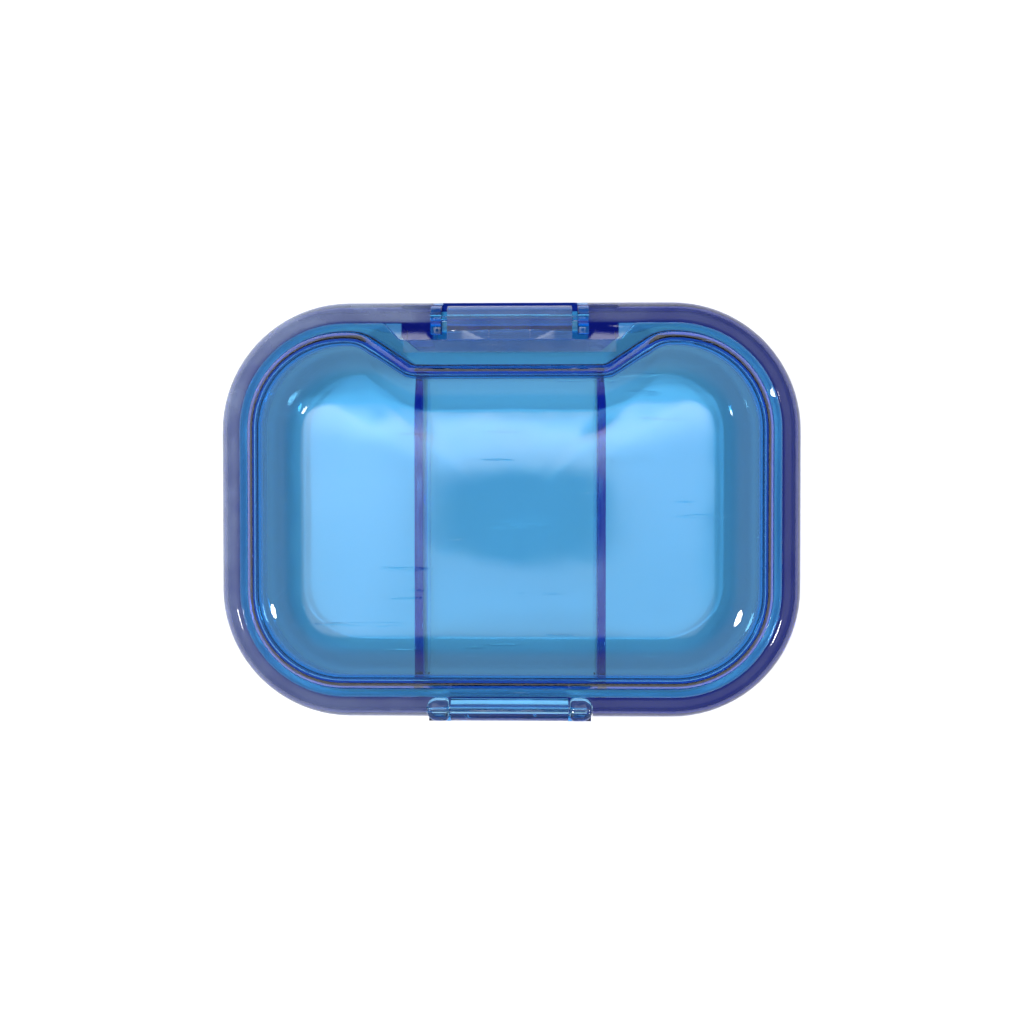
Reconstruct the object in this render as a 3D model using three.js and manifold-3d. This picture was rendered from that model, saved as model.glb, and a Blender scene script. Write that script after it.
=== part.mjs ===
// Three-compartment travel pill case: a double-walled base tray with two slide-in dividers,
// a domed lid on a pinned rear hinge, and a snap latch that pivots on the lid's front lugs.
//
// Millimetres, +Z up, +X along the case, +Y towards the hinge. The origin is the centre of the
// bounding box at the height of the tray's underside, which the case stands on.

import * as THREE from 'three';
import { mergeVertices } from 'three/addons/utils/BufferGeometryUtils.js';
import Module from 'manifold-3d';

const wasm = await Module();
wasm.setup();

// ---------------------------------------------------------------- driving dimensions

const bodyLength = 88;            // X, outer faces of the base
const bodyDepth = 63;             // Y, outer faces of the base
const bodyCorner = 19.5;          // plan radius of the four corners
const rimHeight = 16.5;           // top of the base's rim, where the lid's flange rests
const lidTop = 23;                // top of the dome
const wall = 1.2;                 // general moulded wall
const skirt = 3.4;                // the base's outer wall, which is thicker
const seatGap = 0.15;             // clearance between faces that rest on each other

// An inset is measured in from the body's outline in plan.
const shoulder = { width: 3.4, drop: 3.5 };   // rounded top edge of the base's outer wall
const skirtFoot = 0.6;            // the outer wall stops this far above the tray's underside
const tub = { inset: 5.05, floor: 1.3, round: 6 };
const notch = { depth: 5, mouth: 21.9, floor: 14.3, mouthRound: 6.5, floorRound: 2 };

const flange = { inset: 3.6, thickness: 1.2 };
const relief = { inset: 6.1, mouth: 18.6, floor: 16.35, round: 1.2 };
const pocket = { back: 6.1, front: 8.0, backHalf: 16.35, frontHalf: 13.5, depth: 0.4 };
const dome = { inset: 5.1, wall: 1.35, width: 7.8, rise: 4.5 };
const plugRib = { inset: 6.4, thickness: 0.75, depth: 1.5 };

const hinge = {
  inset: 2.8,                     // axis, in from the rear face
  height: 15.95,                  // axis
  barrel: 1.9,                    // radius
  pin: 0.4,                       // radius
  knuckle: 9.3,                   // half length of the lid's knuckle
  earInner: 10.1,
  earOuter: 11.8,
  earReach: 2.5,                  // the ear's arm, forward of the axis
  earRise: 1.4,                   // the arm's top, above the axis
  room: 2.15,                     // radius of the channel that the knuckle turns in
  rib: 3.05,                      // X of the two fine ribs on the knuckle's plate
};
const hingeBlock = {
  foot: 11.4,                     // underside between the ears
  deepFoot: 2,                    // underside of the two blocks outside the ears
  front: 7.7,
  side: 5.5,
  frontHalf: 13.6,
  backHalf: 16.3,
};

const divider = { thickness: 1.3, x: 13.8, grip: 0.35, top: 14.7, corner: 4.8, play: 0.1 };

const latch = {
  inset: 1.9,                     // axis, in from the body's front face
  height: 18.25,                  // axis
  barrel: 1.65,                   // radius
  pin: 0.35,                      // radius
  halfWidth: 8.7,                 // between the lugs
  legHalf: 12.2,                  // below the lugs
  legTop: 16.1,
  legRound: 2.4,                  // lower corners, seen from the front
  foot: 8.6,                      // lowest edge
  bend: 14,                       // the leg leans out from the head down to here
  proud: 0.65,                    // outer face, out from the body's front face
  lip: 1.25,                      // finger lip, out from the body's front face
  sunk: 0.22,                     // inner face, in from the body's front face
  recess: 0.9,                    // depth of the recess in the base behind the leg
};
const lug = { inner: 8.95, outer: 12.3, round: 1.6, front: 0.35, back: 3.8, edge: 1.1 };

const facetTurn = Math.PI / 18;   // angle between two facets of a rounded corner
const leastRound = 0.05;          // a corner with a smaller radius stays sharp
const bevelSteps = 5;
const roundSides = 24;            // facets round a barrel or a pin
const pinPlay = 0.05;             // between a pin and its bore
const lap = 0.2;                  // overlap of two bodies that are joined

const lidSeat = rimHeight + seatGap;
const flangeTop = lidSeat + flange.thickness;
const frontFace = -bodyDepth / 2;
const rearFace = bodyDepth / 2;
const hingeY = rearFace - hinge.inset;
const latchY = frontFace + latch.inset;
const far = 200;                  // reaches past the part in any direction
const quarterTurn = Math.PI / 2;

// ---------------------------------------------------------------- solids

// A closed three.js geometry as a manifold-3d solid.
function solid(geometry) {
  const bare = geometry.index ? geometry.toNonIndexed() : geometry.clone();
  bare.deleteAttribute('normal');
  bare.deleteAttribute('uv');
  const merged = mergeVertices(bare, 1e-5);
  return new wasm.Manifold(new wasm.Mesh({
    numProp: 3,
    vertProperties: merged.attributes.position.array,
    triVerts: new Uint32Array(merged.index.array),
  }));
}

function geometryOf(manifold) {
  const { vertProperties, triVerts } = manifold.getMesh();
  const geometry = new THREE.BufferGeometry();
  geometry.setAttribute('position', new THREE.BufferAttribute(vertProperties, 3));
  geometry.setIndex(new THREE.BufferAttribute(triVerts, 1));
  geometry.computeVertexNormals();
  return geometry;
}

function box(x0, x1, y0, y1, z0, z1) {
  const geometry = new THREE.BoxGeometry(x1 - x0, y1 - y0, z1 - z0);
  return solid(geometry.translate((x0 + x1) / 2, (y0 + y1) / 2, (z0 + z1) / 2));
}

// A cylinder along X.
function rod(radius, x0, x1, y, z) {
  const geometry = new THREE.CylinderGeometry(radius, radius, x1 - x0, roundSides);
  return solid(geometry.rotateZ(quarterTurn).translate((x0 + x1) / 2, y, z));
}

function prism(shape, depth) {
  return new THREE.ExtrudeGeometry(shape, { depth, bevelEnabled: false });
}

// A profile drawn in Y and Z, extruded along X.
function extrudeAlongX(profile, x0, x1) {
  const turn = new THREE.Matrix4().makeBasis(
    new THREE.Vector3(0, 1, 0), new THREE.Vector3(0, 0, 1), new THREE.Vector3(1, 0, 0));
  return solid(prism(profile, x1 - x0).applyMatrix4(turn).translate(x0, 0, 0));
}

// Points along an arc, with the same angle between any two of them on every corner.
function arc(x, y, radius, start, turn) {
  const steps = Math.max(2, Math.round(Math.abs(turn) / facetTurn));
  return Array.from({ length: steps + 1 }, (_, i) => {
    const angle = start + turn * i / steps;
    return new THREE.Vector2(x + radius * Math.cos(angle), y + radius * Math.sin(angle));
  });
}

const polygon = (points) => new THREE.Shape(points.map(([x, y]) => new THREE.Vector2(x, y)));

// ---------------------------------------------------------------- outlines in plan

// Corners are [x, y, radius], counterclockwise.
const bodyCorners = [
  [-bodyLength / 2, frontFace, bodyCorner],
  [bodyLength / 2, frontFace, bodyCorner],
  [bodyLength / 2, rearFace, bodyCorner],
  [-bodyLength / 2, rearFace, bodyCorner],
];

// The body's outline moved in by inset, with a notch let into its rear side.
function notchedCorners(inset, { depth, mouth, floor, mouthRound, floorRound }) {
  const [x, front, rear] = [bodyLength / 2 - inset, frontFace + inset, rearFace - inset];
  const corner = bodyCorner - inset;
  return [
    [-x, front, corner],
    [x, front, corner],
    [x, rear, corner],
    [mouth, rear, mouthRound],
    [floor, rear - depth, floorRound],
    [-floor, rear - depth, floorRound],
    [-mouth, rear, mouthRound],
    [-x, rear, corner],
  ];
}

const tubCorners = notchedCorners(tub.inset, notch);

// The corners' polygon, with each corner rounded and the whole moved inwards by inset.
function outline(corners, inset = 0) {
  const count = corners.length;
  const points = corners.map(([x, y]) => new THREE.Vector2(x, y));
  const along = points.map((p, i) => points[(i + 1) % count].clone().sub(p).normalize());
  const inward = along.map((d) => new THREE.Vector2(-d.y, d.x));
  const rounded = corners.flatMap((corner, i) => {
    const before = (i + count - 1) % count;
    const turn = Math.asin(along[before].cross(along[i]));
    const side = Math.sign(turn);
    const bisector = inward[before].clone().add(inward[i]);
    bisector.divideScalar(1 + inward[before].dot(inward[i]));
    const vertex = points[i].clone().addScaledVector(bisector, inset);
    const radius = corner[2] - side * inset;
    if (radius < leastRound) return [vertex];
    const centre = vertex.addScaledVector(bisector, side * radius);
    const outward = inward[before].clone().multiplyScalar(-side);
    return arc(centre.x, centre.y, radius, outward.angle(), turn);
  });
  return new THREE.Shape(rounded);
}

// The rounded polygon, moved in by inset and extruded from z0 to z1.
function plateau(corners, inset, z0, z1) {
  return solid(prism(outline(corners, inset), z1 - z0).translate(0, 0, z0));
}

// The same with a quarter-ellipse round its top or bottom edge.
function roundedPlateau(corners, inset, z0, z1, { edge, width, rise }) {
  const geometry = new THREE.ExtrudeGeometry(outline(corners, inset + width), {
    depth: z1 - z0 + 2 * rise, bevelSize: width, bevelThickness: rise, bevelSegments: bevelSteps,
  });
  geometry.translate(0, 0, edge === 'top' ? z0 - 3 * rise : z0 + rise);
  return solid(geometry).intersect(box(-far, far, -far, far, z0, z1));
}

// ---------------------------------------------------------------- base tray

const tubFace = {
  front: frontFace + tub.inset + wall,
  rear: rearFace - tub.inset - notch.depth - wall,
};

// The dividers' outline in Y and Z. grow enlarges it into the slot that holds it.
function dividerProfile(grow, top) {
  const front = tubFace.front - divider.grip - grow;
  const rear = tubFace.rear + divider.grip + grow;
  const bottom = tub.floor + seatGap - grow;
  const corner = divider.corner;
  return new THREE.Shape([
    new THREE.Vector2(front, top),
    ...arc(front + corner, bottom + corner, corner, 2 * quarterTurn, quarterTurn),
    ...arc(rear - corner, bottom + corner, corner, 3 * quarterTurn, quarterTurn),
    new THREE.Vector2(rear, top),
  ]);
}

function dividerPlate() {
  const half = divider.thickness / 2;
  return extrudeAlongX(dividerProfile(0, divider.top), -half, half);
}

function dividerSlot(x) {
  const half = divider.thickness / 2 + divider.play;
  return extrudeAlongX(dividerProfile(divider.play, lidTop), x - half, x + half);
}

// The solid pad inside the rear wall, which carries the hinge, with a deep block at each end.
function hingePad() {
  const { foot, deepFoot, front, side, frontHalf, backHalf } = hingeBlock;
  const back = rearFace - wall / 2;
  const shape = polygon([
    [-backHalf, back], [-backHalf, rearFace - side], [-frontHalf, rearFace - front],
    [frontHalf, rearFace - front], [backHalf, rearFace - side], [backHalf, back],
  ]);
  const block = (x0, x1) => box(x0, x1, rearFace - side, back, deepFoot, rimHeight);
  return solid(prism(shape, rimHeight - foot).translate(0, 0, foot))
    .add(block(-backHalf, -hinge.earOuter))
    .add(block(hinge.earOuter, backHalf));
}

// The rear wall is thin below the hinge, between the ears, so the hinge isn't a thick lump.
function hingeHollow() {
  return box(-hinge.earOuter, hinge.earOuter, rearFace - skirt - lap, rearFace - wall, -far,
    hingeBlock.foot);
}

// One ear of the base's hinge: an arm with a barrel end.
function ear(x0, x1) {
  const arm = box(x0, x1, hingeY - hinge.earReach, hingeY, hinge.height - hinge.barrel,
    hinge.height + hinge.earRise);
  return arm.add(rod(hinge.barrel, x0, x1, hingeY, hinge.height));
}

function hingeChannel() {
  const room = box(-hinge.earInner, hinge.earInner, hingeY - hinge.room, far,
    hinge.height, far);
  const below = box(-hinge.earInner, hinge.earInner, hingeY, far,
    hinge.height - hinge.room, far);
  return room.add(below).add(rod(hinge.room, -hinge.earInner, hinge.earInner, hingeY, hinge.height));
}

// The ridge that the latch's foot snaps over.
function strike() {
  const root = frontFace + latch.recess + 0.1;
  const crest = frontFace + latch.sunk + 0.2;
  const profile = polygon([[root, 12.6], [crest, 11.7], [crest, 11.1], [root, 10.6]]);
  return extrudeAlongX(profile, -7, 7);
}

function baseTray() {
  const outer = roundedPlateau(bodyCorners, 0, skirtFoot, rimHeight,
    { edge: 'top', width: shoulder.width, rise: shoulder.drop });
  const skirtRoom = plateau(bodyCorners, skirt, -1, rimHeight - wall);
  const tubOuter = roundedPlateau(tubCorners, 0, 0, rimHeight,
    { edge: 'bottom', width: tub.round, rise: tub.round });
  const tubRoom = roundedPlateau(tubCorners, wall, tub.floor, lidTop,
    { edge: 'bottom', width: tub.round - wall, rise: tub.round - wall });

  const recessHalf = latch.legHalf + 0.3;
  const recessBack = frontFace + latch.recess;
  const latchRecess = box(-recessHalf, recessHalf, -far, recessBack,
    latch.foot - 0.4, rimHeight - 0.4);
  const pinBore = rod(hinge.pin + pinPlay, -hinge.earOuter, hinge.earOuter, hingeY, hinge.height);

  return outer.subtract(skirtRoom)
    .add(tubOuter)
    .subtract(hingeHollow())
    .add(hingePad().intersect(outer))
    .subtract(hingeChannel())
    .add(ear(-hinge.earOuter, -hinge.earInner))
    .add(ear(hinge.earInner, hinge.earOuter))
    .subtract(pinBore)
    .subtract(latchRecess)
    .add(strike())
    .subtract(tubRoom)
    .subtract(dividerSlot(-divider.x))
    .subtract(dividerSlot(divider.x));
}

// ---------------------------------------------------------------- lid

// A front lug that holds one end of the latch's pin, drawn on the right.
function lugCorners() {
  const [front, back] = [frontFace + lug.front, frontFace + lug.back];
  return [[lug.inner, front, 0], [lug.outer, front, lug.round],
    [lug.outer, back, lug.round], [lug.inner, back, 0]];
}

function lugSolid(side) {
  const right = lugCorners();
  const placed = side > 0 ? right : right.map(([x, y, radius]) => [-x, y, radius]).reverse();
  const top = latch.height + latch.barrel;
  const bar = roundedPlateau(placed, 0, lidSeat, top, { edge: 'top', width: lug.edge, rise: lug.edge });
  const [x0, x1] = side > 0 ? [lug.inner, lug.outer - 1.2] : [1.2 - lug.outer, -lug.inner];
  return bar.add(box(x0, x1, frontFace + lug.back - 0.6, frontFace + flange.inset + 0.8,
    lidSeat, flangeTop + 0.4));
}

// The shallow pocket in the flange between the notch and the hinge.
function flangePocket() {
  const shape = polygon([
    [-pocket.frontHalf, rearFace - pocket.front], [pocket.frontHalf, rearFace - pocket.front],
    [pocket.backHalf, rearFace - pocket.back + 0.5], [-pocket.backHalf, rearFace - pocket.back + 0.5],
  ]);
  return solid(prism(shape, far).translate(0, 0, flangeTop - pocket.depth));
}

function hingePlate() {
  const front = rearFace - relief.inset - 0.05;
  let plate = box(-hinge.knuckle, hinge.knuckle, front, hingeY, lidSeat, flangeTop);
  for (const x of [-hinge.rib, hinge.rib]) {
    plate = plate.add(box(x - 0.2, x + 0.2, front, hingeY, flangeTop - 0.1, flangeTop + 0.2));
  }
  return plate.add(rod(hinge.barrel, -hinge.knuckle, hinge.knuckle, hingeY, hinge.height));
}

function lidShell() {
  const flangeCorners = notchedCorners(flange.inset, {
    depth: relief.inset - flange.inset, mouth: relief.mouth, floor: relief.floor,
    mouthRound: relief.round, floorRound: relief.round,
  });
  const domeOuter = roundedPlateau(tubCorners, dome.inset - tub.inset, lidSeat, lidTop,
    { edge: 'top', width: dome.width, rise: dome.rise });
  const domeRoom = roundedPlateau(tubCorners, dome.inset - tub.inset + dome.wall, lidSeat - 5,
    lidTop - wall, { edge: 'top', width: dome.width - 0.8, rise: dome.rise - 0.5 });
  const ribInset = plugRib.inset - tub.inset;
  const rib = plateau(tubCorners, ribInset, rimHeight - plugRib.depth, flangeTop)
    .subtract(plateau(tubCorners, ribInset + plugRib.thickness, 0, far));
  const latchRoom = box(-lug.inner, lug.inner, -far, latchY + latch.barrel + 0.2, 0, far);
  const hingeBore = rod(hinge.pin + pinPlay, -far, far, hingeY, hinge.height);
  const latchBore = rod(latch.pin + pinPlay, -far, lug.outer - 0.9, latchY, latch.height);

  return plateau(flangeCorners, 0, lidSeat, flangeTop)
    .subtract(flangePocket())
    .add(domeOuter)
    .subtract(domeRoom)
    .add(rib)
    .add(lugSolid(-1))
    .add(lugSolid(1))
    .subtract(latchRoom)
    .add(hingePlate())
    .subtract(hingeBore)
    .subtract(latchBore);
}

// ---------------------------------------------------------------- latch and pins

// The latch's section in Y and Z: a round head on the pin, and a leg in front of the base.
function latchProfile() {
  const outer = frontFace - latch.proud;
  const inner = frontFace + latch.sunk;
  const { height, barrel, foot } = latch;
  const point = (y, z) => new THREE.Vector2(y, z);
  return new THREE.Shape([
    ...arc(latchY, height, barrel, -quarterTurn, 3 * quarterTurn),
    point(outer, latch.bend),
    point(outer, foot + 2.4),
    point(frontFace - latch.lip, foot + 1.2),
    point(frontFace - latch.lip, foot),
    point(inner + 0.08, foot),
    point(inner + 0.08, foot + 1.6),
    point(inner, foot + 2.1),
    point(inner, 15),
    point(inner + 0.4, 15.9),
    point(inner + 1.0, 16.6),
  ]);
}

function frontLatch() {
  const { halfWidth, legHalf, legTop, legRound, foot } = latch;
  const leg = outline([[-legHalf, foot, legRound], [legHalf, foot, legRound],
    [legHalf, legTop, 0.4], [-legHalf, legTop, 0.4]]);
  const legRoom = solid(prism(leg, 2 * far).rotateX(quarterTurn).translate(0, far, 0));
  const head = box(-halfWidth, halfWidth, -far, far, legTop - 1, far);
  const bore = rod(latch.pin + pinPlay, -far, far, latchY, latch.height);
  return extrudeAlongX(latchProfile(), -legHalf, legHalf)
    .intersect(legRoom.add(head))
    .subtract(bore);
}

const hingePin = () => rod(hinge.pin, -hinge.earOuter, hinge.earOuter, hingeY, hinge.height);
const latchPin = () => rod(latch.pin, -lug.outer + 0.3, lug.outer - 1, latchY, latch.height);

// ---------------------------------------------------------------- assembly

const bluePlastic = () => new THREE.MeshStandardMaterial({
  color: 0x2f7fd0, roughness: 0.12, metalness: 0, transparent: true, opacity: 0.5,
});

const pillCase = new THREE.Group();

function addPart(name, manifold, material, x = 0) {
  const mesh = new THREE.Mesh(geometryOf(manifold), material);
  mesh.name = name;
  mesh.position.set(x, latch.lip / 2, 0);
  pillCase.add(mesh);
}

addPart('base_tray', baseTray(), bluePlastic());
addPart('divider_left', dividerPlate(), bluePlastic(), -divider.x);
addPart('divider_right', dividerPlate(), bluePlastic(), divider.x);
addPart('lid', lidShell(), bluePlastic());
addPart('hinge_pin', hingePin(), bluePlastic());
addPart('front_latch', frontLatch(), bluePlastic());
addPart('latch_pin', latchPin(), bluePlastic());

export default pillCase;
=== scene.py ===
import math

import bmesh
import bpy
import numpy as np
from mathutils import Matrix, Vector


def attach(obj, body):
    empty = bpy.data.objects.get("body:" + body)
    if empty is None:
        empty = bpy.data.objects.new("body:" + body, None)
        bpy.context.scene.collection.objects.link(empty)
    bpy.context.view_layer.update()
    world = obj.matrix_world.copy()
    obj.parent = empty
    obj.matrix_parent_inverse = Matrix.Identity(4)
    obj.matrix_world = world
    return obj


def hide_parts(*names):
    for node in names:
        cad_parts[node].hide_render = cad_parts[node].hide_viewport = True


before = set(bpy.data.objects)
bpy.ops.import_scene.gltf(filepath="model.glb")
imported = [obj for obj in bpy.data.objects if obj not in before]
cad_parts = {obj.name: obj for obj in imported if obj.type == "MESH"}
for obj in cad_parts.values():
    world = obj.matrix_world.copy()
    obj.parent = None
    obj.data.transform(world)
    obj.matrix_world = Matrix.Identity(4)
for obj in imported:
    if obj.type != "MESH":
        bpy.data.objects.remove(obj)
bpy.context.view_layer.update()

# ------------------------------------------------------------------ sizes, in mm

BODY_L, BODY_D, BODY_R = 88.0, 63.0, 19.5
FRONT, REAR = -BODY_D / 2, BODY_D / 2
RIM, TOP, WALL = 16.5, 23.0, 1.2
SKIRT = 3.4                     # thickness of the base's outer wall
SHOULDER, SHOULDER_DROP = 3.4, 3.5
SEAT = RIM + 0.15               # underside of the lid's flange
FLANGE_IN, FLANGE_TOP = 3.6, SEAT + 1.2
SHIFT_Y = 0.625                 # from the body's own centre to the frame's
TUB_IN, TUB_FLOOR, TUB_ROUND = 5.05, 1.3, 6.0
DIVIDER_X, DIVIDER_TOP = 13.8, 14.7
HINGE_Y, HINGE_Z, BARREL = REAR - 2.8, 15.95, 1.9
CHANNEL = 2.15                  # radius of the channel that the knuckle turns in
EAR_IN, EAR_OUT, KNUCKLE = 10.1, 11.8, 9.3
PAD_FOOT, PAD_FRONT, PAD_SIDE = 11.4, REAR - 7.7, REAR - 5.5
PAD_FRONT_HALF, PAD_HALF = 13.6, 16.3
LATCH_Y, LATCH_Z, HEAD = FRONT + 1.9, 18.25, 1.65
HEAD_HALF, LEG_HALF, LEG_TOP, LEG_FOOT = 8.7, 12.2, 16.1, 8.6
LEG_FRONT, LEG_BACK, LIP = FRONT - 0.65, FRONT + 0.22, FRONT - 1.25
LUG_IN, LUG_OUT, LUG_FRONT, LUG_BACK, LUG_R = 8.95, 12.3, FRONT + 0.35, FRONT + 3.8, 1.6
HINGE_PIN, LATCH_PIN, PLAY = 0.4, 0.35, 0.05
TOP_BACK = 1.5                  # how far the dome's flat top stays clear of its rear
FAR = 20.0                      # reaches past both sides of the hinge and the latch
MM = 0.001


# ------------------------------------------------------------------ outlines in plan

def corners_of(inset, notch=None):
    """Corners as (x, y, radius), counterclockwise, with the rear notch or points along a straight rear."""
    x, front, rear, r = BODY_L / 2 - inset, FRONT + inset, REAR - inset, BODY_R - inset
    depth, mouth, floor, mouth_r, floor_r = notch or (0.0, 21.9, 14.3, 0.0, 0.0)
    return [(-x, front, r), (x, front, r), (x, rear, r),
            (mouth, rear, mouth_r), (floor, rear - depth, floor_r),
            (-floor, rear - depth, floor_r), (-mouth, rear, mouth_r), (-x, rear, r)]


NOTCH = (5.0, 21.9, 14.3, 6.5, 2.0)
BODY = corners_of(0.0)
TUB = corners_of(TUB_IN, NOTCH)
FLANGE = corners_of(FLANGE_IN, (2.5, 18.6, 16.35, 1.2, 1.2))
COUNTS = [22, 22, 22, 12, 10, 10, 12, 22]       # points round each corner
RUNS = [14, 8, 3, 4, 8, 4, 3, 8]                # points along the straight after it


def outline(corners, inset=0.0):
    """Points of the rounded outline moved inwards, with the same number of points for every outline."""
    pts = np.array([(c[0], c[1]) for c in corners], float)
    n = len(corners)
    along = np.array([(pts[(i + 1) % n] - pts[i]) for i in range(n)])
    along /= np.linalg.norm(along, axis=1)[:, None]
    inward = np.stack([-along[:, 1], along[:, 0]], 1)
    parts = []
    for i, c in enumerate(corners):
        b = (i - 1) % n
        cross = along[b][0] * along[i][1] - along[b][1] * along[i][0]
        turn = math.asin(max(-1.0, min(1.0, cross)))
        bis = (inward[b] + inward[i]) / (1 + inward[b] @ inward[i])
        v = pts[i] + bis * inset
        k = COUNTS[i]
        if abs(turn) < 1e-4:
            parts.append([v + along[i] * s for s in np.linspace(-1.2, 1.2, k)])
            continue
        side = 1.0 if turn > 0 else -1.0
        r = max(c[2] - side * inset, 0.05)
        centre = v + bis * side * r
        a0 = math.atan2(-side * inward[b][1], -side * inward[b][0])
        parts.append([centre + r * np.array((math.cos(a0 + turn * t), math.sin(a0 + turn * t)))
                      for t in np.linspace(0, 1, k)])
    out = []
    for i, part in enumerate(parts):
        out.extend(part)
        a, b = np.array(part[-1]), np.array(parts[(i + 1) % n][0])
        out.extend(a + (b - a) * t for t in np.linspace(0, 1, RUNS[i] + 2)[1:-1])
    return np.array(out)


def ring(corners, inset, z):
    o = outline(corners, inset)
    return np.column_stack([o, np.full(len(o), z)])


def bend(r0, r1, lift, steps=10):
    """Rings of a quarter-ellipse from r0 to r1. With lift it leaves r0 upright and arrives flat."""
    out = []
    for t in np.linspace(0, math.pi / 2, steps + 1):
        side, rise = (1 - math.cos(t), math.sin(t)) if lift else (math.sin(t), 1 - math.cos(t))
        p = r0.copy()
        p[:, :2] += (r1[:, :2] - r0[:, :2]) * side
        p[:, 2] += (r1[:, 2] - r0[:, 2]) * rise
        out.append(p)
    return out


def arc(x, y, radius, start, count):
    """Points of a quarter circle, counterclockwise from the angle start."""
    return [(x + radius * math.cos(a), y + radius * math.sin(a))
            for a in np.linspace(start, start + math.pi / 2, count)]


# ------------------------------------------------------------------ meshes

def new_object(name, verts, faces):
    mesh = bpy.data.meshes.new(name)
    v = np.array(verts, float)
    v[:, 1] += SHIFT_Y
    mesh.from_pydata((v * MM).tolist(), [], faces)
    bm = bmesh.new()
    bm.from_mesh(mesh)
    bmesh.ops.remove_doubles(bm, verts=bm.verts, dist=2e-6)
    bmesh.ops.recalc_face_normals(bm, faces=bm.faces)
    bm.to_mesh(mesh)
    bm.free()
    obj = bpy.data.objects.new(name, mesh)
    bpy.context.scene.collection.objects.link(obj)
    return obj


def loft(name, rings):
    n = len(rings[0])
    verts = np.vstack(rings)
    faces = [tuple(reversed(range(n)))]
    for k in range(len(rings) - 1):
        a, b = k * n, (k + 1) * n
        faces += [(a + i, a + (i + 1) % n, b + (i + 1) % n, b + i) for i in range(n)]
    last = (len(rings) - 1) * n
    faces.append(tuple(range(last, last + n)))
    return new_object(name, verts, faces)


def prism(name, low, high, soft):
    """The solid between two matching outlines, its edges softened."""
    n = len(low)
    faces = [tuple(range(n)), tuple(reversed(range(n, 2 * n)))]
    faces += [(i, (i + 1) % n, n + (i + 1) % n, n + i) for i in range(n)]
    return soften(new_object(name, low + high, faces), soft)


def prism_x(name, profile, x0, x1, soft=0.0):
    """A profile of (y, z) points extruded along X."""
    return prism(name, [(x0, y, z) for y, z in profile], [(x1, y, z) for y, z in profile], soft)


def prism_y(name, profile, y0, y1, soft=0.0):
    """A profile of (x, z) points extruded along Y."""
    return prism(name, [(x, y0, z) for x, z in profile], [(x, y1, z) for x, z in profile], soft)


def prism_z(name, profile, z0, z1, soft=0.0):
    """A profile of (x, y) points extruded along Z."""
    return prism(name, [(x, y, z0) for x, y in profile], [(x, y, z1) for x, y in profile], soft)


def box(name, x0, x1, y0, y1, z0, z1, soft=0.0):
    return prism_z(name, [(x0, y0), (x1, y0), (x1, y1), (x0, y1)], z0, z1, soft)


def circle(y, z, r, sides=64):
    return [(y + r * math.cos(2 * math.pi * i / sides), z + r * math.sin(2 * math.pi * i / sides))
            for i in range(sides)]


def rod(name, y, z, r, x0, x1, soft=0.0, sides=64):
    return prism_x(name, circle(y, z, r, sides), x0, x1, soft)


def soften(obj, width, angle=35.0, segments=3):
    if width <= 0:
        return obj
    m = obj.modifiers.new("soften", "BEVEL")
    m.width = width * MM
    m.segments = segments
    m.limit_method = "ANGLE"
    m.angle_limit = math.radians(angle)
    m.use_clamp_overlap = True
    return apply(obj)


def apply(obj):
    bpy.context.view_layer.update()
    deps = bpy.context.evaluated_depsgraph_get()
    mesh = bpy.data.meshes.new_from_object(obj.evaluated_get(deps))
    old = obj.data
    obj.modifiers.clear()
    obj.data = mesh
    bpy.data.meshes.remove(old)
    return obj


def combine(obj, other, operation):
    m = obj.modifiers.new("cut", "BOOLEAN")
    m.object = other
    m.operation = operation
    m.solver = "MANIFOLD"
    apply(obj)
    bpy.data.objects.remove(other)
    return obj


def join(obj, *others):
    for o in others:
        combine(obj, o, "UNION")
    return obj


def cut(obj, *others):
    for o in others:
        combine(obj, o, "DIFFERENCE")
    return obj


def finish_piece(obj, body, nodes, material, angle=32.0):
    obj.data.polygons.foreach_set("use_smooth", [True] * len(obj.data.polygons))
    obj.data.set_sharp_from_angle(angle=math.radians(angle))
    obj.data.materials.clear()
    obj.data.materials.append(material)
    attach(obj, body)
    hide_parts(*nodes)
    return obj


# ------------------------------------------------------------------ base tray

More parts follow.
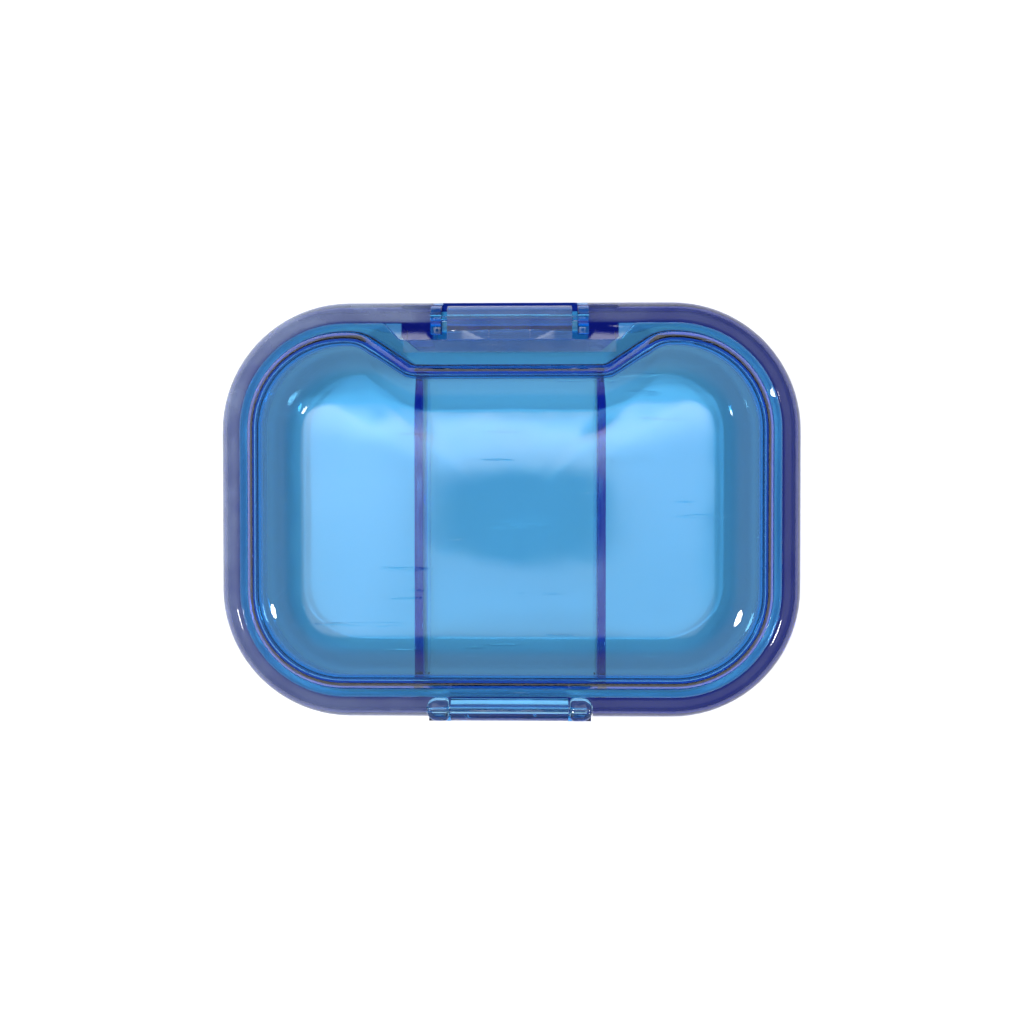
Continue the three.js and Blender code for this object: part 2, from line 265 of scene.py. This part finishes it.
def make_tray():
    t = TUB
    inner_r = TUB_ROUND - WALL
    rings = [ring(t, WALL + inner_r + 0.5, TUB_FLOOR)]
    rings += bend(ring(t, WALL, TUB_FLOOR + inner_r), ring(t, WALL + inner_r, TUB_FLOOR), True, 10)[::-1]
    rings += bend(ring(t, WALL, RIM - 0.3), ring(t, WALL - 0.3, RIM), True, 5)
    rings += [ring(BODY, SHOULDER + 0.1, RIM)]
    rings += bend(ring(BODY, 0.0, RIM - SHOULDER_DROP), ring(BODY, SHOULDER, RIM), True, 18)[::-1]
    rings += [ring(BODY, 0.02, 9.0), ring(BODY, 0.06, 4.0)]
    rings += bend(ring(BODY, 0.1, 0.95), ring(BODY, 0.45, 0.6), True, 5)
    rings += bend(ring(BODY, SKIRT, 0.85), ring(BODY, SKIRT - 0.25, 0.6), True, 4)[::-1]
    rings += bend(ring(BODY, SKIRT, 15.2), ring(BODY, SKIRT + 0.1, 15.3), True, 2)
    rings += bend(ring(t, 0.0, 14.8), ring(t, -0.5, 15.3), True, 5)[::-1]
    rings += bend(ring(t, 0.0, TUB_ROUND), ring(t, TUB_ROUND, 0.0), True, 12)
    rings += [ring(t, TUB_ROUND + 0.5, 0.0)]
    tray = loft("tray_shell", rings)

    cut(tray, box("hollow", -EAR_OUT, EAR_OUT, REAR - SKIRT - 0.2, REAR - WALL, -5, PAD_FOOT, 0.0))
    back = REAR - 0.6
    pad = [(-PAD_HALF, back), (-PAD_HALF, PAD_SIDE), (-PAD_FRONT_HALF, PAD_FRONT),
           (PAD_FRONT_HALF, PAD_FRONT), (PAD_HALF, PAD_SIDE), (PAD_HALF, back)]
    join(tray, prism_z("pad", pad, PAD_FOOT, 15.5, 0.2))
    for x0, x1 in ((-PAD_HALF, -EAR_OUT), (EAR_OUT, PAD_HALF)):
        join(tray, box("block", x0 + 0.003, x1 - 0.003, PAD_SIDE + 0.005, back - 0.02, 2.0, 15.8, 0.2))
    cut(tray, rod("channel", HINGE_Y, HINGE_Z, CHANNEL, -EAR_IN, EAR_IN),
        box("above", -EAR_IN, EAR_IN, HINGE_Y - CHANNEL, REAR + 9, HINGE_Z, 40),
        box("behind", -EAR_IN, EAR_IN, HINGE_Y, REAR + 9, HINGE_Z - CHANNEL, 40))
    for x0, x1 in ((-EAR_OUT, -EAR_IN), (EAR_IN, EAR_OUT)):
        arm = box("arm", x0, x1, HINGE_Y - 2.5, HINGE_Y, HINGE_Z - 1.85, HINGE_Z + 1.4, 0.18)
        join(tray, arm, rod("ear", HINGE_Y, HINGE_Z, BARREL, x0, x1, 0.18))
    cut(tray, rod("bore", HINGE_Y, HINGE_Z, HINGE_PIN + PLAY, -EAR_OUT - 0.01, EAR_OUT + 0.01))
    cut(tray, box("recess", -12.5, 12.5, FRONT - 9, FRONT + 0.9, 8.2, 16.1, 0.25))
    join(tray, prism_x("strike", [(FRONT + 1.0, 12.6), (FRONT + 0.42, 11.7), (FRONT + 0.42, 11.1),
                                  (FRONT + 1.0, 10.6)], -7, 7, 0.05))
    for x in (-DIVIDER_X, DIVIDER_X):
        cut(tray, box("slot", x - 0.75, x + 0.75, FRONT + 5.8, REAR - 10.8, 4.4, 14.85))
    return tray


def make_divider(name, x):
    front, rear, bottom, r = FRONT + 5.9, REAR - 10.9, TUB_FLOOR + 0.15, 4.8
    profile = [(front, DIVIDER_TOP)]
    profile += arc(front + r, bottom + r, r, math.pi, 14)
    profile += arc(rear - r, bottom + r, r, -math.pi / 2, 14)
    profile += [(rear, DIVIDER_TOP)]
    return prism_x(name, profile, x - 0.65, x + 0.65, 0.14)


# ------------------------------------------------------------------ lid

def top_outline(shrink, z):
    """The soft edge of the dome's nearly flat top, whose rear only hints at the notch."""
    c = corners_of(TUB_IN + 9.6 + shrink, (1.2, 17.5, 12.5, 6.0, 8.0))
    body = (0, 1, 2, 7)
    c = [(x, y - TOP_BACK * (y > 0), max(r, 4.6) if i in body else r) for i, (x, y, r) in enumerate(c)]
    return ring(c, 0.0, z)


def dome_wall(foot, edge, power=2.3, steps=26):
    """Rings from the dome's upright foot to the soft edge of its top, along a quarter of a superellipse."""
    out = []
    for t in np.linspace(0, math.pi / 2, steps + 1):
        side = 1 - math.cos(t) ** (2 / power) if t < math.pi / 2 else 1.0
        rise = math.sin(t) ** (2 / power)
        p = foot.copy()
        p[:, :2] += (edge[:, :2] - foot[:, :2]) * side
        p[:, 2] += (edge[:, 2] - foot[:, 2]) * rise
        out.append(p)
    return out


def crown(base, centre_z, steps=(0.8, 0.6, 0.4, 0.2)):
    """Rings that shrink from base to a slightly higher centre."""
    middle = np.array((0.0, -1.0))
    out = []
    for s in steps:
        p = base.copy()
        p[:, :2] = middle + (base[:, :2] - middle) * s
        p[:, 2] = centre_z + (base[:, 2] - centre_z) * s * s
        out.append(p)
    return out


def make_lid():
    t = TUB
    dome = 0.05
    edge = top_outline(0.0, TOP - 0.18)
    rings = crown(edge, TOP)[::-1]
    rings += dome_wall(ring(t, dome, 18.6), edge)[::-1]
    rings += bend(ring(t, dome, FLANGE_TOP + 0.35), ring(t, dome - 0.35, FLANGE_TOP), True, 5)
    rings += bend(ring(FLANGE, 0.0, FLANGE_TOP - 0.3), ring(FLANGE, 0.3, FLANGE_TOP), True, 5)[::-1]
    rings += bend(ring(FLANGE, 0.0, SEAT + 0.15), ring(FLANGE, 0.15, SEAT), True, 3)
    rings += [ring(t, 1.35, SEAT)]
    rings += bend(ring(t, 1.35, 15.3), ring(t, 1.65, 15.0), True, 4)
    rings += bend(ring(t, 2.1, 15.3), ring(t, 1.8, 15.0), True, 4)[::-1]
    rings += [ring(t, 2.1, 17.4), ring(t, 1.45, 17.9)]
    under = top_outline(0.9, TOP - WALL - 0.18)
    rings += dome_wall(ring(t, 1.45, 19.6), under, 2.8)
    rings += crown(under, TOP - WALL)
    lid = loft("lid_shell", rings)

    pocket = [(-13.5, REAR - 8.0), (13.5, REAR - 8.0), (16.35, REAR - 5.6), (-16.35, REAR - 5.6)]
    cut(lid, prism_z("pocket", pocket, FLANGE_TOP - 0.4, FLANGE_TOP + 5))
    cut(lid, box("latch_room", -LUG_IN, LUG_IN, FRONT - 9, LATCH_Y + HEAD + 0.2, 5, 40))
    front = REAR - 6.15
    join(lid, box("plate", -KNUCKLE, KNUCKLE, front, HINGE_Y, SEAT, FLANGE_TOP, 0.1))
    for x in (-3.05, 3.05):
        join(lid, box("rib", x - 0.18, x + 0.18, front + 0.1, HINGE_Y,
                      FLANGE_TOP - 0.2, FLANGE_TOP + 0.18, 0.07))
    join(lid, rod("knuckle", HINGE_Y, HINGE_Z, BARREL, -KNUCKLE, KNUCKLE, 0.15))
    return cut(lid, rod("bore", HINGE_Y, HINGE_Z, HINGE_PIN + PLAY, -FAR, FAR))


def make_lug(side):
    """The clear D-shaped ear that holds one end of the latch, standing on the flange."""
    pts = [(LUG_IN, LUG_FRONT)]
    pts += arc(LUG_OUT - LUG_R, LUG_FRONT + LUG_R, LUG_R, -math.pi / 2, 12)
    pts += arc(LUG_OUT - LUG_R, LUG_BACK - LUG_R, LUG_R, 0.0, 12)
    pts += [(LUG_IN, LUG_BACK)]
    if side < 0:
        pts = [(-x, y) for x, y in pts][::-1]
    lug = prism_z("lug_" + ("left", "right")[side > 0], pts, FLANGE_TOP + 0.01, LATCH_Z + HEAD, 0.0)
    lug = soften(lug, 0.7, 60.0, 6)
    xa, xb = sorted((side * 8.0, side * (LUG_OUT - 0.9)))
    return cut(lug, rod("bore", LATCH_Y, LATCH_Z, LATCH_PIN + PLAY, xa, xb))


# ------------------------------------------------------------------ latch and pins

def make_latch():
    profile = [(LATCH_Y + HEAD * math.cos(a), LATCH_Z + HEAD * math.sin(a))
               for a in np.linspace(-math.pi / 2, math.pi, 40)]
    profile += [(LEG_FRONT, 14.0), (LEG_FRONT, LEG_FOOT + 2.4), (LIP, LEG_FOOT + 1.2), (LIP, LEG_FOOT),
                (LEG_BACK + 0.08, LEG_FOOT), (LEG_BACK + 0.08, LEG_FOOT + 1.6),
                (LEG_BACK, LEG_FOOT + 2.1), (LEG_BACK, 15.0), (LEG_BACK + 0.4, 15.9),
                (LEG_BACK + 1.0, 16.6)]
    latch = prism_x("latch_body", profile, -LEG_HALF, LEG_HALF)
    r = 2.4
    face = arc(-LEG_HALF + r, LEG_FOOT + r, r, math.pi, 12)
    face += arc(LEG_HALF - r, LEG_FOOT + r, r, -math.pi / 2, 12)
    face += [(LEG_HALF, LEG_TOP), (HEAD_HALF, LEG_TOP), (HEAD_HALF, 60), (-HEAD_HALF, 60),
             (-HEAD_HALF, LEG_TOP), (-LEG_HALF, LEG_TOP)]
    combine(latch, prism_y("latch_face", face, -90, 90), "INTERSECT")
    r = 1.2
    plan = arc(-LEG_HALF + r, LIP + r, r, math.pi, 10)
    plan += arc(LEG_HALF - r, LIP + r, r, -math.pi / 2, 10)
    plan += [(LEG_HALF, 0), (-LEG_HALF, 0)]
    combine(latch, prism_z("latch_plan", plan, 0, 60), "INTERSECT")
    soften(latch, 0.16, 40.0, 3)
    return cut(latch, rod("bore", LATCH_Y, LATCH_Z, LATCH_PIN + PLAY, -FAR, FAR))


# ------------------------------------------------------------------ materials

def nodes_of(name):
    m = bpy.data.materials.new(name)
    m.use_nodes = True
    m.node_tree.nodes.clear()
    return m, m.node_tree.nodes, m.node_tree.links


class Graph:
    """Short forms for the node sums that shape the light."""

    def __init__(self, tree):
        self.nodes, self.links = tree.nodes, tree.links

    def set(self, socket, value):
        if isinstance(value, (int, float)):
            socket.default_value = value
        else:
            self.links.new(value, socket)

    def math(self, operation, a, b=0.0):
        node = self.nodes.new("ShaderNodeMath")
        node.operation = operation
        self.set(node.inputs[0], a)
        self.set(node.inputs[1], b)
        return node.outputs[0]

    def dot(self, vector, way):
        node = self.nodes.new("ShaderNodeVectorMath")
        node.operation = "DOT_PRODUCT"
        self.links.new(vector, node.inputs[0])
        node.inputs[1].default_value = way
        return node.outputs["Value"]

    def fade(self, value, start, end, low=0.0, high=1.0):
        node = self.nodes.new("ShaderNodeMapRange")
        node.interpolation_type = "SMOOTHSTEP"
        self.set(node.inputs["Value"], value)
        for name, number in (("From Min", start), ("From Max", end), ("To Min", low), ("To Max", high)):
            node.inputs[name].default_value = number
        return node.outputs["Result"]

    def coords(self, output):
        return self.nodes.new("ShaderNodeTexCoord").outputs[output]


def body_reach(g, place):
    """Distance in plan from the rectangle that the centres of the body's corners lie on."""
    across = g.math("MAXIMUM", g.math("SUBTRACT", g.math("ABSOLUTE", g.dot(place, (1, 0, 0))),
                                      (BODY_L / 2 - BODY_R) * MM), 0.0)
    along = g.math("ABSOLUTE", g.math("SUBTRACT", g.dot(place, (0, 1, 0)), SHIFT_Y * MM))
    along = g.math("MAXIMUM", g.math("SUBTRACT", along, (BODY_D / 2 - BODY_R) * MM), 0.0)
    return g.math("SQRT", g.math("ADD", g.math("MULTIPLY", across, across), g.math("MULTIPLY", along, along)))


def shoulder_wear_and_painted_sheen(g, place):
    """A dull veil on the body's shoulder and outer wall, none on the hinge, weaker towards the bottom: partly
    wear, partly a painted reflection, with painted light making it strongest at the left and rear.
    """
    x, y = g.dot(place, (1, 0, 0)), g.dot(place, (0, 1, 0))
    inner = BODY_R - SHOULDER
    edge = g.fade(body_reach(g, place), (inner - 0.15) * MM, (inner + 0.25) * MM)
    height = g.fade(g.dot(place, (0, 0, 1)), 0.004, 0.012, 0.35, 1.0)
    # Painted light: the veil is strongest at the left and rear, where the light falls on the shoulder.
    painted_light_lean = g.math("MULTIPLY", g.fade(x, -0.030, 0.030, 1.0, 0.28),
                  g.fade(y, -0.030, 0.030, 0.75, 1.1))
    beside = g.fade(g.math("ABSOLUTE", x), (EAR_OUT - 0.1) * MM, (EAR_OUT + 0.1) * MM)
    off_hinge = g.math("MAXIMUM", beside, g.fade(y, 0.001, 0.0))
    return g.math("MULTIPLY", g.math("MULTIPLY", edge, height), g.math("MULTIPLY", painted_light_lean, off_hinge))


def hinge_plate_painted_sheen(g, place):
    """A dull grey veil on the lid's hinge plate and the shallow pocket in front of it: a painted reflection,
    standing for the sheen the flat plate reflects.
    """
    half_width = g.fade(g.math("ABSOLUTE", g.dot(place, (1, 0, 0))), 0.0160, 0.0156)
    pocket_front = REAR + SHIFT_Y - 8.0
    behind = g.fade(g.dot(place, (0, 1, 0)), (pocket_front - 0.1) * MM, (pocket_front + 0.1) * MM)
    return g.math("MULTIPLY", half_width, behind)


def scuff_and_sheen_veil(m, place, clear, veil_map, amount):
    """The clear surface under a dull, patchy diffuse veil where the mask says: partly scuffing, partly
    painted reflection.
    """
    g = Graph(m.node_tree)
    mask = veil_map(g, g.coords("Object"))
    veil_noise = g.nodes.new("ShaderNodeTexNoise")
    veil_noise.inputs["Scale"].default_value = 240.0
    veil_noise.inputs["Detail"].default_value = 5.0
    g.links.new(place.outputs["Vector"], veil_noise.inputs["Vector"])
    patchy = g.fade(veil_noise.outputs["Fac"], 0.30, 0.70, 0.75, 1.2)
    # The veil's grey-blue colour is a painted reflection where it is not scuffing.
    dull = g.nodes.new("ShaderNodeBsdfDiffuse")
    dull.inputs["Color"].default_value = (0.50, 0.62, 0.84, 1)
    mix = g.nodes.new("ShaderNodeMixShader")
    factor = g.math("MULTIPLY", mask, g.math("MULTIPLY", patchy, amount))
    g.links.new(factor, mix.inputs[0])
    g.links.new(clear, mix.inputs[1])
    g.links.new(dull.outputs["BSDF"], mix.inputs[2])
    return mix.outputs[0]


def clear_plastic(name, tint, tint2, sigma, rough, scratch, seed, veil_map=None, amount=0.0):
    """Glossy see-through plastic: a drifting tint, a hazed and scratched finish, a coloured depth."""
    m, nodes, links = nodes_of(name)
    out = nodes.new("ShaderNodeOutputMaterial")
    shader = nodes.new("ShaderNodeBsdfPrincipled")
    shader.inputs["Transmission Weight"].default_value = 1.0
    shader.inputs["IOR"].default_value = 1.57
    coords = nodes.new("ShaderNodeTexCoord")
    place = nodes.new("ShaderNodeMapping")
    place.inputs["Location"].default_value = (seed * 0.37, seed * 0.11, seed * 0.23)
    links.new(coords.outputs["Object"], place.inputs["Vector"])

    drift = nodes.new("ShaderNodeTexNoise")
    drift.inputs["Scale"].default_value = 38.0
    drift.inputs["Detail"].default_value = 3.0
    links.new(place.outputs["Vector"], drift.inputs["Vector"])
    ramp = nodes.new("ShaderNodeValToRGB")
    ramp.color_ramp.elements[0].position = 0.35
    ramp.color_ramp.elements[0].color = (*tint, 1)
    ramp.color_ramp.elements[1].position = 0.65
    ramp.color_ramp.elements[1].color = (*tint2, 1)
    links.new(drift.outputs["Fac"], ramp.inputs["Fac"])
    links.new(ramp.outputs["Color"], shader.inputs["Base Color"])

    haze = nodes.new("ShaderNodeTexNoise")
    haze.inputs["Scale"].default_value = 160.0
    haze.inputs["Detail"].default_value = 6.0
    links.new(place.outputs["Vector"], haze.inputs["Vector"])
    gloss = nodes.new("ShaderNodeMapRange")
    gloss.inputs["From Min"].default_value = 0.35
    gloss.inputs["From Max"].default_value = 0.75
    gloss.inputs["To Min"].default_value = rough[0]
    gloss.inputs["To Max"].default_value = rough[1]
    links.new(haze.outputs["Fac"], gloss.inputs["Value"])
    links.new(gloss.outputs["Result"], shader.inputs["Roughness"])

    wave = nodes.new("ShaderNodeTexNoise")
    wave.inputs["Scale"].default_value = 62.0
    wave.inputs["Detail"].default_value = 2.0
    links.new(place.outputs["Vector"], wave.inputs["Vector"])
    flow = nodes.new("ShaderNodeBump")
    flow.inputs["Strength"].default_value = 0.10
    flow.inputs["Distance"].default_value = 0.0006
    links.new(wave.outputs["Fac"], flow.inputs["Height"])

    stretch = nodes.new("ShaderNodeMapping")
    stretch.inputs["Rotation"].default_value = (0.0, 0.0, 0.3)
    stretch.inputs["Scale"].default_value = (60.0, 900.0, 900.0)
    links.new(place.outputs["Vector"], stretch.inputs["Vector"])
    lines = nodes.new("ShaderNodeTexNoise")
    lines.inputs["Scale"].default_value = 1.0
    lines.inputs["Detail"].default_value = 2.0
    links.new(stretch.outputs["Vector"], lines.inputs["Vector"])
    thin = nodes.new("ShaderNodeMapRange")
    thin.inputs["From Min"].default_value = 0.70
    thin.inputs["From Max"].default_value = 0.76
    links.new(lines.outputs["Fac"], thin.inputs["Value"])
    marks = nodes.new("ShaderNodeBump")
    marks.inputs["Strength"].default_value = scratch
    marks.inputs["Distance"].default_value = 0.00004
    links.new(thin.outputs["Result"], marks.inputs["Height"])
    links.new(flow.outputs["Normal"], marks.inputs["Normal"])
    links.new(marks.outputs["Normal"], shader.inputs["Normal"])
    surface = shader.outputs["BSDF"]
    if veil_map:
        surface = scuff_and_sheen_veil(m, place, surface, veil_map, amount)
    links.new(surface, out.inputs["Surface"])

    depth = nodes.new("ShaderNodeVolumeAbsorption")
    density = max(sigma) * 1.1
    depth.inputs["Density"].default_value = density
    depth.inputs["Color"].default_value = (*[1 - s / density for s in sigma], 1)
    links.new(depth.outputs["Volume"], out.inputs["Volume"])
    return m


BLUE = (860.0, 262.0, 58.0)                  # absorption per metre in red, green and blue
CLEAR = (420.0, 150.0, 32.0)
PALE, PALER = (0.93, 0.97, 1.0), (0.98, 0.99, 1.0)
tray_mat = clear_plastic("tray_plastic", PALE, PALER, BLUE, (0.02, 0.09), 0.3, 1, shoulder_wear_and_painted_sheen, 0.30)
divider_mat = clear_plastic("divider_plastic", PALE, PALER, BLUE, (0.03, 0.12), 0.3, 2)
lid_mat = clear_plastic("lid_plastic", PALE, PALER, BLUE, (0.01, 0.06), 0.5, 3, hinge_plate_painted_sheen, 0.16)
latch_mat = clear_plastic("latch_plastic", (0.96, 0.98, 1.0), (0.99, 1.0, 1.0), CLEAR, (0.02, 0.08), 0.3, 4)
pin_mat = clear_plastic("pin_plastic", PALE, PALER, BLUE, (0.03, 0.10), 0.2, 5)

hinge_rod = rod("hinge_rod", HINGE_Y, HINGE_Z, HINGE_PIN, -EAR_OUT, EAR_OUT, 0.08)
latch_rod = rod("latch_rod", LATCH_Y, LATCH_Z, LATCH_PIN, 0.3 - LUG_OUT, LUG_OUT - 1.0, 0.06)

finish_piece(make_tray(), "base", ["base_tray"], tray_mat)
finish_piece(make_divider("divider_l", -DIVIDER_X), "base", ["divider_left"], divider_mat)
finish_piece(make_divider("divider_r", DIVIDER_X), "base", ["divider_right"], divider_mat)
finish_piece(make_lid(), "cover", ["lid"], lid_mat)
finish_piece(make_latch(), "latch", ["front_latch"], latch_mat)
for side in (-1, 1):
    finish_piece(make_lug(side), "cover", ["lid"], latch_mat)
finish_piece(hinge_rod, "base", ["hinge_pin"], pin_mat)
finish_piece(latch_rod, "cover", ["latch_pin"], pin_mat)

# ------------------------------------------------------------------ floor, light and camera

def floor_material():
    """Pale paper on a light table: it glows a little, so what stands on it throws almost no shadow. The glow
    is dimmed in a soft ring under the case's walls: a painted shadow.
    """
    m, nodes, links = nodes_of("floor_paper")
    out = nodes.new("ShaderNodeOutputMaterial")
    shader = nodes.new("ShaderNodeBsdfPrincipled")
    grain = nodes.new("ShaderNodeTexNoise")
    grain.inputs["Scale"].default_value = 900.0
    coords = nodes.new("ShaderNodeTexCoord")
    links.new(coords.outputs["Object"], grain.inputs["Vector"])
    ramp = nodes.new("ShaderNodeValToRGB")
    ramp.color_ramp.elements[0].color = (0.84, 0.84, 0.84, 1)
    ramp.color_ramp.elements[1].color = (0.88, 0.88, 0.88, 1)
    links.new(grain.outputs["Fac"], ramp.inputs["Fac"])
    links.new(ramp.outputs["Color"], shader.inputs["Base Color"])
    shader.inputs["Roughness"].default_value = 0.9
    shader.inputs["Specular IOR Level"].default_value = 0.1
    shader.inputs["Emission Color"].default_value = (1, 1, 1, 1)
    g = Graph(m.node_tree)
    reach = body_reach(g, coords.outputs["Object"])
    # Painted shadow: a soft dark ring under the case's walls, where the glow is cut by 55 per cent.
    painted_shadow_ring = g.math("MULTIPLY", g.fade(reach, 0.0065, 0.0115), g.fade(reach, 0.0200, 0.0190))
    g.links.new(g.math("SUBTRACT", FLOOR_GLOW, g.math("MULTIPLY", painted_shadow_ring, 0.55 * FLOOR_GLOW)),
                shader.inputs["Emission Strength"])
    links.new(shader.outputs["BSDF"], out.inputs["Surface"])
    return m


def studio():
    """A ceiling panel with a round opening over the camera, a faint glow at the left, and a dim room."""
    world = bpy.data.worlds.new("studio")
    bpy.context.scene.world = world
    world.use_nodes = True
    g = Graph(world.node_tree)
    way = g.coords("Generated")
    up = g.math("MAXIMUM", g.dot(way, (0, 0, 1)), 0.02)
    across = g.math("DIVIDE", g.dot(way, (1, 0, 0)), up)
    along = g.math("DIVIDE", g.dot(way, (0, 1, 0)), up)
    panel = g.fade(across, -0.25, -0.21)
    for edge in (g.fade(across, 0.18, 0.14), g.fade(along, -0.22, -0.16), g.fade(along, 0.105, 0.085)):
        panel = g.math("MULTIPLY", panel, edge)
    off_x = g.math("DIVIDE", g.math("ADD", across, 0.012), 0.085)
    off_y = g.math("DIVIDE", g.math("ADD", along, 0.020), 0.062)
    off = g.math("ADD", g.math("MULTIPLY", off_x, off_x), g.math("MULTIPLY", off_y, off_y))
    bright = g.math("ADD", g.fade(along, -0.08, 0.02, 1.6, 2.1), g.fade(along, 0.03, 0.09, 0.0, 2.6))
    bright = g.math("ADD", bright, g.fade(across, -0.08, -0.16, 0.0, 0.7))
    ceiling = g.math("MULTIPLY", g.math("MULTIPLY", panel, g.fade(off, 0.5, 1.5)), bright)
    side = g.fade(g.dot(way, (-1, 0, 0)), -0.15, 0.20, 0.20, 0.32)
    low = g.math("MULTIPLY", side, g.fade(up, 0.50, 0.30))
    room = g.math("MULTIPLY", g.fade(up, 0.35, 0.60, 0.0, 0.75), g.fade(up, 0.95, 0.88, 0.1, 1.0))
    background = g.nodes["Background"]
    background.inputs["Color"].default_value = (0.93, 0.96, 1.0, 1)
    g.links.new(g.math("ADD", g.math("ADD", ceiling, low), room), background.inputs["Strength"])


def lamp(name, way, radius, power, distance=0.6):
    """A small round studio lamp, for the bright spots on the lid's corners."""
    light = bpy.data.lights.new(name, "AREA")
    light.shape = "DISK"
    light.size = 2 * radius
    light.energy = power
    obj = bpy.data.objects.new(name, light)
    obj.location = Vector(way).normalized() * distance
    obj.rotation_euler = obj.location.to_track_quat("Z", "Y").to_euler()
    bpy.context.scene.collection.objects.link(obj)
    return obj


FLOOR_GLOW = 0.68
mesh = bpy.data.meshes.new("floor")
mesh.from_pydata([(-3, -3, 0), (3, -3, 0), (3, 3, 0), (-3, 3, 0)], [], [(0, 1, 2, 3)])
floor = bpy.data.objects.new("floor", mesh)
floor.location = (0, 0, -0.00002)
floor.data.materials.append(floor_material())
bpy.context.scene.collection.objects.link(floor)

studio()
# The wash lights only the shoulder's dull veil of scuffs and painted reflection, so it isn't mirrored in the
# clear plastic.
wash = lamp("wash_rear_left", (-0.75, 0.50, 0.12), 0.12, 1.7)
wash.visible_glossy = False
wash.visible_transmission = False
lamp("lamp_front_left", (-0.64, -0.214, 0.739), 0.03, 0.35)
lamp("lamp_front_right", (0.505, -0.243, 0.827), 0.03, 0.35)
lamp("lamp_rear_left", (-0.29, 0.133, 0.948), 0.008, 0.012)
lamp("lamp_rear_right", (0.385, 0.155, 0.909), 0.008, 0.012)

camera = bpy.data.objects.new("camera", bpy.data.cameras.new("camera"))
camera.data.lens = 43.1
camera.data.sensor_width = 36
camera.data.clip_start = 0.01
CAMERA_AT = Vector((0.0045, SHIFT_Y * MM + 0.003, 0.200))
AIM = Vector((0.00025, SHIFT_Y * MM - 0.0003, 0.013))
camera.location = CAMERA_AT
back = (CAMERA_AT - AIM).normalized()
right = (Vector((1, 0, 0)) - back * back.x).normalized()
camera.rotation_euler = Matrix((right, back.cross(right), back)).transposed().to_euler()
bpy.context.scene.collection.objects.link(camera)
bpy.context.scene.camera = camera

bpy.context.scene.view_settings.view_transform = "Standard"
bpy.context.scene.cycles.max_bounces = 24
bpy.context.scene.cycles.transmission_bounces = 20
bpy.context.scene.cycles.glossy_bounces = 8
bpy.context.scene.cycles.diffuse_bounces = 4
